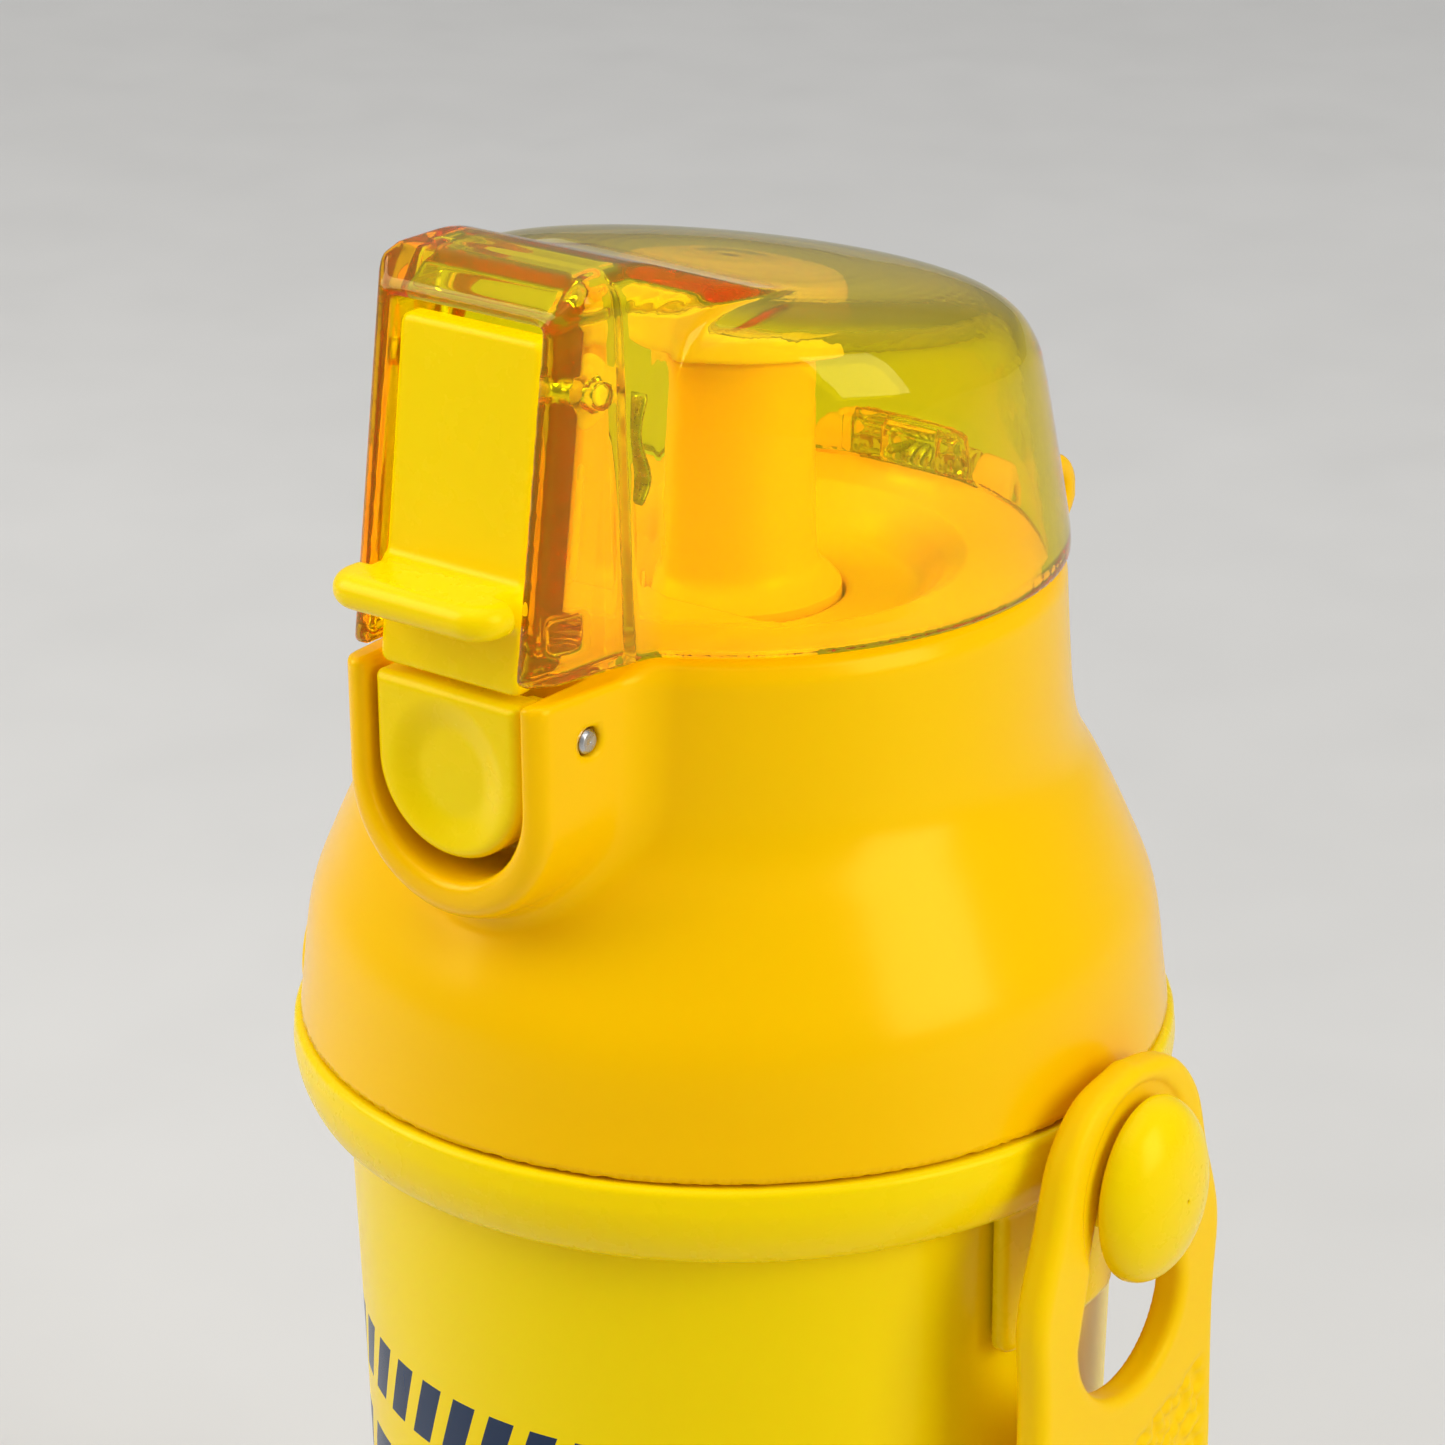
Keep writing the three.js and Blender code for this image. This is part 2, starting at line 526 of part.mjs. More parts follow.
const leverFaceY = (z) => LEVER.footY + LEVER.lean * (z - LEVER.bottomZ);

// A plate with a finger ledge near its foot, hung from two ears on the lock pin.
function lockLever() {
  const { half, topZ, bottomZ, thick } = LEVER;
  const { y, z, pinR, earR } = LEVER_AXIS;
  const plate = solid(prism("x", [[leverFaceY(bottomZ), bottomZ], [leverFaceY(bottomZ) + thick, bottomZ],
    [leverFaceY(topZ) + thick, topZ - 0.6], [leverFaceY(topZ) + 0.8, topZ], [leverFaceY(topZ), topZ - 0.8]],
    -half, half));
  const { low, high, half: ledgeHalf, reach } = LEDGE;
  const tip = ledgeHalf - LEDGE.corner;
  const ledge = solid(prism("z", [[-half, -33.5], [-half, -36.2], [-ledgeHalf, -36.2],
    ...arc(-tip, reach + LEDGE.corner, LEDGE.corner, 180, 270, 4),
    ...arc(tip, reach + LEDGE.corner, LEDGE.corner, 270, 360, 4),
    [ledgeHalf, -36.2], [half, -36.2], [half, -33.5]], low, high));
  const ear = [[leverFaceY(z - 4) + 1, z - 4], [y, z - earR], ...arc(y, z, earR, -60, 90, 6),
    [leverFaceY(z + 3) + 1, z + earR]];
  const ears = [[-half, -half + 1.8], [half - 1.8, half]].map(([left, right]) =>
    solid(prism("x", ear, left, right)).subtract(barX(y, z, pinR + 0.25, left - 1, right + 1)));
  const [ribLow, ribHigh] = [SEAM_Z + 46, SEAM_Z + 55];
  const rib = [[leverFaceY(ribLow) + 1, ribLow], [leverFaceY(ribLow) + 4, ribLow + 0.5],
    [leverFaceY(ribHigh) + 4, ribHigh], [leverFaceY(ribHigh) + 1, ribHigh + 0.5]];
  const ribs = [[-half, -half + 1.4], [half - 1.4, half]].map(([left, right]) =>
    solid(prism("x", rib, left, right)));
  return [ledge, ...ears, ...ribs].reduce((whole, next) => whole.add(next), plate);
}

const lockPin = () => barX(LEVER_AXIS.y, LEVER_AXIS.z, LEVER_AXIS.pinR, -9, 9, 12);

// A thin bent leaf behind the right cheek that clicks the lever into its two positions.
function lockSpring() {
  const thick = 0.5;
  const line = [[-23.6, 51], [-22.7, 53], [-23.7, 56.5], [-22.8, 59.5]];
  const front = line.map(([y, z]) => [y, SEAM_Z + z]);
  const back = line.map(([y, z]) => [y + thick, SEAM_Z + z]).reverse();
  return solid(prism("x", [...front, ...back], 7.5, 9.2));
}

// ---- Assembly -----------------------------------------------------------------------------
const bottle = new THREE.Group();
bottle.add(
  pieceOf("bottle_body", LEMON, bottleBody()),
  pieceOf("strap_ring", LEMON, strapRing()),
  pieceOf("strap_stud_right", LEMON, strapStud(1)),
  pieceOf("strap_stud_left", LEMON, strapStud(-1)),
  pieceOf("strap_end_right", SOFT_GOLD, strapEnd(1)),
  pieceOf("strap_end_left", SOFT_GOLD, strapEnd(-1)),
);

const cap = new THREE.Group();
cap.add(
  pieceOf("cap_shell", GOLDEN, capShell()),
  pieceOf("cap_liner", GOLDEN, capLiner()),
  pieceOf("cap_gasket", SILICONE, capGasket()),
  pieceOf("vent_valve", SILICONE, ventValve()),
  pieceOf("spout", GOLDEN, spout()),
  pieceOf("spout_gasket", SILICONE, spoutGasket()),
  pieceOf("push_button", LEMON, pushButton()),
  pieceOf("button_pin", STEEL, buttonPin()),
  pieceOf("button_spring", STEEL, buttonSpring()),
  pieceOf("hinge_pin", STEEL, hingePin()),
);

const lid = new THREE.Group();
lid.add(
  pieceOf("lid_shell", AMBER_CLEAR, lidShell()),
  pieceOf("lid_stopper", LEMON, lidStopper()),
  pieceOf("lock_lever", LEMON, lockLever()),
  pieceOf("lock_pin", LEMON, lockPin()),
  pieceOf("lock_spring", STEEL, lockSpring()),
  pieceOf("hinge_spring", STEEL, hingeSpring()),
);

const waterBottle = new THREE.Group();
waterBottle.add(bottle, cap, lid);

export default waterBottle;
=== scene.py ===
import math

import bpy
import numpy as np
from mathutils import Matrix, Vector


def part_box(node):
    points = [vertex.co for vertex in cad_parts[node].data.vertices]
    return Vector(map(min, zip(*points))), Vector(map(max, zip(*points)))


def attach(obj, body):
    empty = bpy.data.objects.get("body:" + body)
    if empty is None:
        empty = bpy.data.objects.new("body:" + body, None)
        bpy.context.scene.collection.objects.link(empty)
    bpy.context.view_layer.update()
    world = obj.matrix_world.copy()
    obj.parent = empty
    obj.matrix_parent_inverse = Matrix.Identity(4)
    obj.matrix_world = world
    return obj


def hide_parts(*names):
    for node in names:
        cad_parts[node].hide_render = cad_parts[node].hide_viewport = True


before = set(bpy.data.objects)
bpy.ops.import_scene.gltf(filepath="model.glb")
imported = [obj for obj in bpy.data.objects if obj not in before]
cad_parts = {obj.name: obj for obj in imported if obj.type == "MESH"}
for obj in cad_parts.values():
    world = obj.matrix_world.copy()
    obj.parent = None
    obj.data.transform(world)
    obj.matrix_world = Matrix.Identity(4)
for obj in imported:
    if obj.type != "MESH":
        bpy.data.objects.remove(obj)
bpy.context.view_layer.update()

import openvdb
from mathutils import Matrix, Vector

MM = 0.001


def low(node):
    return [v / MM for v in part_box(node)[0]]


def high(node):
    return [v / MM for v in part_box(node)[1]]


SEAM = low("cap_shell")[2]
GAP = 0.3

# ---- Outlines -----------------------------------------------------------------------------


def flow(points, steps=6):
    """A smooth run of (u, v) points through the given ones."""
    p = np.array(points, float)
    p = np.vstack([2 * p[0] - p[1], p, 2 * p[-1] - p[-2]])
    run = []
    for a, b, c, d in zip(p, p[1:], p[2:], p[3:]):
        for t in np.linspace(0, 1, steps, endpoint=False):
            run.append(0.5 * (2 * b + (c - a) * t + (2 * a - 5 * b + 4 * c - d) * t**2
                              + (3 * b - a - 3 * c + d) * t**3))
    run.append(p[-2])
    return [tuple(q) for q in run]


def arc(u, v, radius, start, end, count=10):
    """Points on an arc, angles in degrees."""
    turn = np.radians(np.linspace(start, end, count + 1))
    return [(u + radius * math.cos(t), v + radius * math.sin(t)) for t in turn]


def soften(points, radius=0.4, count=4):
    """A closed outline with each sharp corner rounded as far as its sides allow."""
    p = [np.array(q[:2], float) for q in points]
    rounded = []
    for i, here in enumerate(p):
        before, after = p[i - 1] - here, p[(i + 1) % len(p)] - here
        lb, la = np.linalg.norm(before), np.linalg.norm(after)
        bend = math.acos(float(np.clip(-(before @ after) / (lb * la), -1, 1)))
        if bend < math.radians(14):
            rounded.append(tuple(here))
            continue
        reach = min(radius * math.tan(bend / 2), 0.45 * lb, 0.45 * la)
        a, b = here + before / lb * reach, here + after / la * reach
        for t in np.linspace(0, 1, count + 1):
            rounded.append(tuple((1 - t) ** 2 * a + 2 * t * (1 - t) * here + t**2 * b))
    return rounded


class Outline:
    """Signed distance to a closed outline, negative inside, looked up in a fine table."""

    def __init__(self, points, step=0.12, margin=5.0):
        p = np.array(points, float)
        self.step = step
        self.corner = p.min(0) - margin
        counts = np.ceil((p.max(0) + margin - self.corner) / step).astype(int) + 2
        u = self.corner[0] + step * np.arange(counts[0])[:, None]
        v = self.corner[1] + step * np.arange(counts[1])[None, :]
        nearest = np.full((counts[0], counts[1]), 1e9)
        inside = np.zeros(nearest.shape, bool)
        for (au, av), (bu, bv) in zip(p, np.roll(p, -1, 0)):
            du, dv = bu - au, bv - av
            span = du * du + dv * dv
            if span < 1e-12:
                continue
            t = np.clip(((u - au) * du + (v - av) * dv) / span, 0, 1)
            nearest = np.minimum(nearest, (u - au - t * du) ** 2 + (v - av - t * dv) ** 2)
            if dv:
                crosses = (v >= min(av, bv)) & (v < max(av, bv)) & (u < au + (v - av) * du / dv)
                inside ^= crosses
        self.table = np.where(inside, -1, 1) * np.sqrt(nearest)

    def __call__(self, u, v):
        size = self.table.shape
        a = np.clip((u - self.corner[0]) / self.step, 0, size[0] - 1.001)
        b = np.clip((v - self.corner[1]) / self.step, 0, size[1] - 1.001)
        a, b = np.broadcast_arrays(a, b)
        i, j = a.astype(int), b.astype(int)
        s, t = a - i, b - j
        w = self.table
        return ((1 - s) * ((1 - t) * w[i, j] + t * w[i, j + 1])
                + s * ((1 - t) * w[i + 1, j] + t * w[i + 1, j + 1]))


# ---- Solids as signed distances -----------------------------------------------------------


def both(a, b, radius=0.0):
    """The common part of a and b, with its outer edge rounded."""
    if not radius:
        return np.maximum(a, b)
    a, b = a + radius, b + radius
    return np.minimum(np.maximum(a, b), 0) + np.hypot(np.maximum(a, 0), np.maximum(b, 0)) - radius


def either(a, b, radius=0.0):
    """a and b together, with a fillet where they meet."""
    return -both(-a, -b, radius)


def without(a, b, radius=0.0):
    """a with b cut out, with the rim rounded."""
    return both(a, -b, radius)


def slab(v, lowest, highest):
    """Everything with v between two values."""
    return np.maximum(lowest - v, v - highest)


def ramp(v, start, end):
    """A smooth step from 0 at start to 1 at end."""
    t = np.clip((v - start) / (end - start), 0, 1)
    return t * t * (3 - 2 * t)


def bar(y, h, axis_y, axis_h, radius):
    """A round bar along X."""
    return np.hypot(y - axis_y, h - axis_h) - radius


def u_shape(x, h, half, arc_h):
    """An upright U with a round bottom, open at the top."""
    return np.hypot(x, np.minimum(h - arc_h, 0)) - half


# ---- Meshes -------------------------------------------------------------------------------


def add_piece(name, vertices, faces, body, node, material):
    """A smooth piece in the row frame that stands for a CAD node; vertices in millimetres."""
    vertices = np.asarray(vertices, float) * MM
    faces = np.asarray(faces, np.int32)
    a, b, c, d = (vertices[faces[:, k]] for k in range(4))
    volume = np.einsum("ij,ij->i", np.cross(c - a, d - b), a + b + c + d).sum()
    if volume < 0:
        faces = faces[:, ::-1]
    mesh = bpy.data.meshes.new(name)
    mesh.vertices.add(len(vertices))
    mesh.vertices.foreach_set("co", vertices.ravel())
    mesh.loops.add(faces.size)
    mesh.loops.foreach_set("vertex_index", faces.ravel())
    mesh.polygons.add(len(faces))
    mesh.polygons.foreach_set("loop_start", np.arange(len(faces), dtype=np.int32) * faces.shape[1])
    mesh.update(calc_edges=True)
    mesh.validate()
    mesh.polygons.foreach_set("use_smooth", np.ones(len(mesh.polygons), bool))
    mesh.materials.append(material)
    piece = bpy.data.objects.new(name, mesh)
    bpy.context.scene.collection.objects.link(piece)
    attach(piece, body)
    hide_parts(node)
    return piece


def carve(shape, lowest, highest, step):
    """The surface of a signed-distance shape inside a box, as (vertices, quads)."""
    axes = [np.arange(a - 3 * step, b + 3 * step, step) for a, b in zip(lowest, highest)]
    x, y = axes[0][:, None, None], axes[1][None, :, None]
    layers = [shape(x, y, axes[2][None, None, k:k + 16]) for k in range(0, len(axes[2]), 16)]
    grid = openvdb.FloatGrid(3 * step)
    grid.copyFromArray(np.clip(np.concatenate(layers, 2), -3 * step, 3 * step).astype(np.float32))
    spots, _, quads = grid.convertToPolygons(isovalue=0.0, adaptivity=0.0)
    spots = spots * step + [a[0] for a in axes]
    nudge = 0.25 * step
    for _ in range(2):
        value = shape(*spots.T)
        slope = np.stack([(shape(*(spots + nudge * e).T) - shape(*(spots - nudge * e).T)) / (2 * nudge)
                          for e in np.eye(3)], 1)
        move = value[:, None] * slope / np.maximum((slope**2).sum(1), 0.25)[:, None]
        spots = spots - np.clip(move, -0.5 * step, 0.5 * step)
    return spots, quads


def carved(name, node, body, material, shape, step, lowest=None, highest=None):
    """A piece carved from a shape given in (x, y, h), in the box of its CAD node."""
    bottom, top = list(lowest or low(node)), list(highest or high(node))
    bottom[2] -= SEAM
    top[2] -= SEAM
    spots, quads = carve(shape, bottom, top, step)
    return add_piece(name, spots + [0, 0, SEAM], quads, body, node, material)


def lathe(profile, facets=144):
    """A closed (radius, z) outline turned about Z, as (vertices, quads)."""
    r, z = np.array(profile, float).T
    turn = 2 * np.pi * np.arange(facets) / facets
    spots = np.stack([np.outer(np.cos(turn), r), np.outer(np.sin(turn), r),
                      np.tile(z, (facets, 1))], 2).reshape(-1, 3)
    n = len(r)
    i, j = np.meshgrid(np.arange(facets), np.arange(n), indexing="ij")
    a, b = i * n + j, i * n + (j + 1) % n
    c, d = (i + 1) % facets * n + (j + 1) % n, (i + 1) % facets * n + j
    return spots, np.stack([a, d, c, b], 2).reshape(-1, 4)


def turned(name, node, body, material, profile, facets=144, centre=(0, 0), radius=0.4):
    """A turned piece from an (radius, h) outline drawn anticlockwise, with rounded corners."""
    outline = [(max(r, 0.02), h + SEAM) for r, h in soften(profile, radius)]
    spots, quads = lathe(outline, facets)
    return add_piece(name, spots + [*centre, 0], quads, body, node, material)


def turned_x(name, node, body, material, radius, facets=40):
    """A round pin along X with chamfered ends, in the box of its CAD node."""
    a, b = low(node), high(node)
    edge = 0.25
    profile = soften([(0.02, a[0]), (radius - edge, a[0]), (radius, a[0] + edge),
                      (radius, b[0] - edge), (radius - edge, b[0]), (0.02, b[0])], 0.12)
    spots, quads = lathe(profile, facets)
    spots = spots[:, [2, 0, 1]] + [0, (a[1] + b[1]) / 2, (a[2] + b[2]) / 2]
    return add_piece(name, spots, quads, body, node, material)


def wire(name, node, body, material, path, radius, sides=12):
    """A round wire along a list of points, with closed round ends."""
    p = np.array(path, float)
    along = np.gradient(p, axis=0)
    along /= np.linalg.norm(along, axis=1)[:, None]
    side = np.cross(along[0], [0.3, 0.5, 0.8])
    rings = []
    start = [(0, -0.8, 0.25), (0, -0.5, 0.75)]
    end = [(len(p) - 1, -push, share) for _, push, share in start[::-1]]
    for i, push, share in start + [(k, 0, 1) for k in range(len(p))] + end:
        side -= (side @ along[i]) * along[i]
        side /= np.linalg.norm(side)
        other = np.cross(along[i], side)
        turn = 2 * np.pi * np.arange(sides) / sides
        centre = p[i] + along[i] * push * radius
        circle = np.outer(np.cos(turn), side) + np.outer(np.sin(turn), other)
        rings.append(centre + radius * share * circle)
    n = len(rings)
    i, j = np.meshgrid(np.arange(n - 1), np.arange(sides), indexing="ij")
    k = (j + 1) % sides
    ring, after = i * sides, (i + 1) * sides
    quads = np.stack([ring + j, ring + k, after + k, after + j], 2).reshape(-1, 4)
    spots = np.vstack(rings)
    caps = []
    for base, order in ((0, -1), ((n - 1) * sides, 1)):
        for k in range(sides // 2 - 1):
            cell = [base + k, base + k + 1, base + sides - 2 - k, base + sides - 1 - k]
            caps.append(cell[::order])
    return add_piece(name, spots, np.vstack([quads, np.array(caps)]), body, node, material)


# ---- Materials ----------------------------------------------------------------------------


class Recipe:
    """A node material with its Principled shader, and short ways to add what drives it."""

    def __init__(self, name, color, roughness, **constants):
        self.material = bpy.data.materials.new(name)
        self.material.use_nodes = True
        self.tree = self.material.node_tree
        self.shader = self.tree.nodes["Principled BSDF"]
        self.shader.inputs["Base Color"].default_value = (*color, 1)
        self.shader.inputs["Roughness"].default_value = roughness
        for key, value in constants.items():
            self.shader.inputs[key.replace("_", " ")].default_value = value
        self.place = self.tree.nodes.new("ShaderNodeTexCoord").outputs["Object"]

    def add(self, kind, inputs=None, **settings):
        node = self.tree.nodes.new(kind)
        for key, value in settings.items():
            setattr(node, key, value)
        for key, value in (inputs or {}).items():
            if isinstance(value, bpy.types.NodeSocket):
                self.tree.links.new(value, node.inputs[key])
            else:
                node.inputs[key].default_value = value
        return node

    def join(self, source, socket):
        self.tree.links.new(source, self.shader.inputs[socket])

    def noise(self, scale, detail=3.0, rough=0.55):
        return self.add("ShaderNodeTexNoise", {"Vector": self.place, "Scale": scale, "Detail": detail,
                                               "Roughness": rough}).outputs["Fac"]

    def spread(self, value, lowest, highest, start=0.3, end=0.7):
        return self.add("ShaderNodeMapRange", {"Value": value, "From Min": start, "From Max": end,
                                               "To Min": lowest, "To Max": highest}).outputs["Result"]

    def math(self, operation, a, b=0.0):
        return self.add("ShaderNodeMath", {0: a, 1: b}, operation=operation).outputs[0]

    def mix(self, share, a, b):
        return self.add("ShaderNodeMix", {0: share, 6: a, 7: b}, data_type="RGBA").outputs[2]

    def bump(self, height, strength, distance=0.0002, before=None):
        inputs = {"Height": height, "Strength": strength, "Distance": distance}
        if before is not None:
            inputs["Normal"] = before
        return self.add("ShaderNodeBump", inputs).outputs["Normal"]


def plastic(name, color, deep, pale, roughness, grain=0.05, **constants):
    """Glossy moulded plastic: faint clouding, edges worn slightly pale, soft sink marks, fine grain."""
    m = Recipe(name, color, roughness, Specular_IOR_Level=0.32,
               Specular_Tint=(1, 0.82, 0.15, 1), **constants)
    body = m.mix(m.spread(m.noise(30, 1), 0, 1), (*color, 1), (*deep, 1))
    edge = m.add("ShaderNodeNewGeometry").outputs["Pointiness"]
    worn = m.math("MULTIPLY", m.spread(edge, 0, 0.25, 0.56, 0.7), m.spread(m.noise(500, 3), 0.2, 1))
    m.join(m.mix(worn, body, (*pale, 1)), "Base Color")
    m.join(m.spread(m.noise(260, 4), roughness - 0.015, roughness + 0.02), "Roughness")
    sink = m.bump(m.noise(34, 0), 0.05, 0.0004)
    m.join(m.bump(m.noise(2200, 2), grain, 0.00002, sink), "Normal")
    return m


LEMON = (0.95, 0.69, 0.0)
LEMON_DEEP = (0.93, 0.65, 0.0)
LEMON_PALE = (0.97, 0.78, 0.02)
GOLDEN = (0.97, 0.555, 0.0)
GOLDEN_DEEP = (0.95, 0.51, 0.0)
GOLDEN_PALE = (0.97, 0.64, 0.05)
NAVY = (0.0, 0.022, 0.085)


def lemon_plastic():
    return plastic("lemon_plastic", LEMON, LEMON_DEEP, LEMON_PALE, 0.27,
                   Subsurface_Weight=0.12, Subsurface_Scale=0.004, IOR=1.49).material


def golden_plastic():
    return plastic("golden_plastic", GOLDEN, GOLDEN_DEEP, GOLDEN_PALE, 0.22,
                   Subsurface_Weight=0.10, Subsurface_Scale=0.004, IOR=1.49).material


def strap_plastic():
    return plastic("soft_golden_plastic", (0.97, 0.62, 0.0), (0.96, 0.58, 0.0), GOLDEN_PALE, 0.42,
                   grain=0.2, Subsurface_Weight=0.15, Subsurface_Scale=0.004).material


def printed_lemon():
    """The bottle's plastic with two rows of plain slanted bars printed low on its front."""
    m = plastic("printed_lemon_plastic", LEMON, LEMON_DEEP, LEMON_PALE, 0.25,
                Subsurface_Weight=0.12, Subsurface_Scale=0.004, IOR=1.49)
    part = m.add("ShaderNodeSeparateXYZ", {0: m.place})
    turn = m.math("ARCTAN2", part.outputs["X"], m.math("MULTIPLY", part.outputs["Y"], -1.0))
    arc_way = m.math("MULTIPLY", turn, BODY_R * MM)
    slanted = m.math("SUBTRACT", arc_way, m.math("MULTIPLY", part.outputs["Z"], PRINT_SLANT))
    reach = m.math("LESS_THAN", m.math("ABSOLUTE", arc_way), PRINT_REACH * MM)
    ink = None
    for bottom, top, pitch, filled in PRINT_ROWS:
        above = m.math("GREATER_THAN", part.outputs["Z"], bottom * MM)
        below = m.math("LESS_THAN", part.outputs["Z"], top * MM)
        cycle = m.math("FRACT", m.math("DIVIDE", slanted, pitch * MM))
        bars = m.math("MULTIPLY", m.math("LESS_THAN", cycle, filled), m.math("MULTIPLY", above, below))
        row = m.math("MULTIPLY", bars, reach)
        ink = row if ink is None else m.math("MAXIMUM", ink, row)
    plain = m.shader.inputs["Base Color"].links[0].from_socket
    m.join(m.mix(ink, plain, (*NAVY, 1)), "Base Color")
    return m.material


def clear_plastic():
    """Clear tinted plastic whose colour deepens with thickness, and which lets lamps through."""
    m = Recipe("clear_amber_plastic", (1, 1, 1), 0.012, Transmission_Weight=0.96, IOR=1.47,
               Specular_Tint=(0.6, 0.55, 0.2, 1))
    m.join(m.spread(m.noise(300, 4), 0.008, 0.03, 0.4, 0.8), "Roughness")
    m.join(m.bump(m.noise(50, 1), 0.05, 0.0003), "Normal")
    m.join(m.mix(m.spread(m.noise(60, 1), 0, 1), (0.96, 0.99, 0.10, 1), (0.95, 0.98, 0.06, 1)), "Base Color")
    passing = m.add("ShaderNodeBsdfTransparent", {"Color": (0.98, 0.96, 0.6, 1)})
    ray = m.add("ShaderNodeLightPath").outputs["Is Shadow Ray"]
    mixed = m.add("ShaderNodeMixShader", {0: ray, 1: m.shader.outputs[0], 2: passing.outputs[0]})
    out = m.tree.nodes["Material Output"]
    m.tree.links.new(mixed.outputs[0], out.inputs["Surface"])
    tint = m.add("ShaderNodeVolumeAbsorption", {"Color": (0.996, 0.958, 0.0, 1), "Density": 1250.0})
    m.tree.links.new(tint.outputs[0], out.inputs["Volume"])
    return m.material


def silicone(name, color, deep):
    m = Recipe(name, color, 0.55, Subsurface_Weight=0.3, Subsurface_Scale=0.003)
    m.join(m.mix(m.spread(m.noise(150, 3), 0, 1), (*color, 1), (*deep, 1)), "Base Color")
    m.join(m.spread(m.noise(1200, 4), 0.45, 0.65), "Roughness")
    m.join(m.bump(m.noise(4000, 2), 0.3, 0.00003), "Normal")
    return m.material


def steel():
    m = Recipe("steel", (0.55, 0.55, 0.54), 0.28, Metallic=1.0)
    clouding = m.spread(m.noise(800, 4), 0, 1)
    m.join(m.mix(clouding, (0.58, 0.58, 0.57, 1), (0.42, 0.42, 0.42, 1)), "Base Color")
    m.join(m.spread(m.noise(3000, 4), 0.2, 0.42), "Roughness")
    m.join(m.bump(m.noise(5000, 3), 0.25, 0.00002), "Normal")
    return m.material


# ---- Bottle -------------------------------------------------------------------------------

BODY_R = 31.6
BODY_WALL = 1.8
SHOULDER = -2.5
NECK_R = 26.5
NECK_TOP = high("bottle_body")[2] - SEAM
BASE = -SEAM
PITCH = 6.0
PRINT_ROWS = [(75.0, 80.8, 4.1, 0.62), (61.0, 71.0, 6.4, 0.66)]
PRINT_SLANT = 0.35
PRINT_REACH = 27.0


def ridge(radius, side, start_h, start_turn, turns, count=72):
    """A helical thread ridge with faded ends, as (vertices, quads); side 1 is an outside thread."""
    steps = round(turns * count)
    rings = []
    for i in range(steps + 1):
        angle = 2 * math.pi * (start_turn + i / count)
        h = start_h + PITCH * i / count
        fade = min(1.0, min(i, steps - i) / 7 + 0.12)
        crest = radius + side * 1.5 * fade
        root = radius - side * 0.5
        section = [(root, -1.5), (crest - side * 0.15, -0.75), (crest, -0.45), (crest, 0.45),
                   (crest - side * 0.15, 0.75), (root, 1.5)]
        rings.append([(r * math.cos(angle), r * math.sin(angle), SEAM + h + d) for r, d in section])
    n = len(rings[0])
    quads = []
    for i in range(steps):
        for j in range(n):
            k = (j + 1) % n
            quads.append([i * n + j, (i + 1) * n + j, (i + 1) * n + k, i * n + k])
    for base, flip in ((0, False), (steps * n, True)):
        for cell in ([0, 1, 4, 5], [1, 2, 3, 4]):
            cell = [base + c for c in cell]
            quads.append(cell[::-1] if flip else cell)
    quads = np.array(quads)
    return np.vstack(rings), quads if side > 0 else quads[:, ::-1]


def merged(*parts):
    """Several (vertices, quads) as one."""
    spots, quads, count = [], [], 0
    for part_spots, part_quads in parts:
        spots.append(part_spots)
        quads.append(np.asarray(part_quads) + count)
        count += len(part_spots)
    return np.vstack(spots), np.vstack(quads)


def bottle_body():
    inner_r = NECK_R - BODY_WALL
    wall = flow([(31.35, BASE + 40), (31.75, BASE + 67), (32.3, BASE + 89), (32.6, -7.5)], 8)
    outer = soften([
        (0.02, BASE + 0.7), (14, BASE + 0.7), (15.5, BASE), (26.8, BASE), *arc(27, BASE + 4, 4, -84, 0, 8),
        *wall, *arc(30.6, SHOULDER - 2, 2, 0, 90, 6), (NECK_R, SHOULDER), (NECK_R, NECK_TOP),
        (inner_r, NECK_TOP), (inner_r, SHOULDER - 2.8), (28.8, SHOULDER - 3.3), (30.7, SHOULDER - 6),
        (29.55, BASE + 40), *arc(27, BASE + 4, 2.2, 0, -90, 6), (0.02, BASE + 2.5)], 0.5)
    shell = lathe([(r, h + SEAM) for r, h in outer], 192)
    spots, quads = merged(shell, ridge(NECK_R, 1, 2.6, 0, 1.25))
    add_piece("bottle_body_shell", spots, quads, "bottle", "bottle_body", printed_lemon())


RING_LIP = flow([(32.9, -7.6), (33.5, -7.95), (35.4, -7.0), (36.5, -5.0), (36.95, -2.8), (36.85, -1.2)])
STUD_H = -6.0
STRAP_FOOT = -54.5
LEFT_SWING = math.radians(30)


def strap_ring(material):
    band = Outline([(26.9, -2.2), (32.9, -2.2), *RING_LIP, *arc(36.2, -0.95, 0.65, 0, 90, 5), (26.9, -GAP)])

    def shape(x, y, h):
        r = np.hypot(x, y)
        ring = band(r, h)
        tab = both(slab(r, 32.9, 34.3), both(np.abs(y) - 8, slab(h, -20.5, -4), 1.2), 0.55)
        post = both(np.hypot(y, h - STUD_H) - 4.2, slab(np.abs(x), 33.8, 40.6), 0.3)
        return either(either(ring, tab, 0.5), post, 0.6)

    return carved("strap_ring_band", "strap_ring", "bottle", material, shape, 0.36)


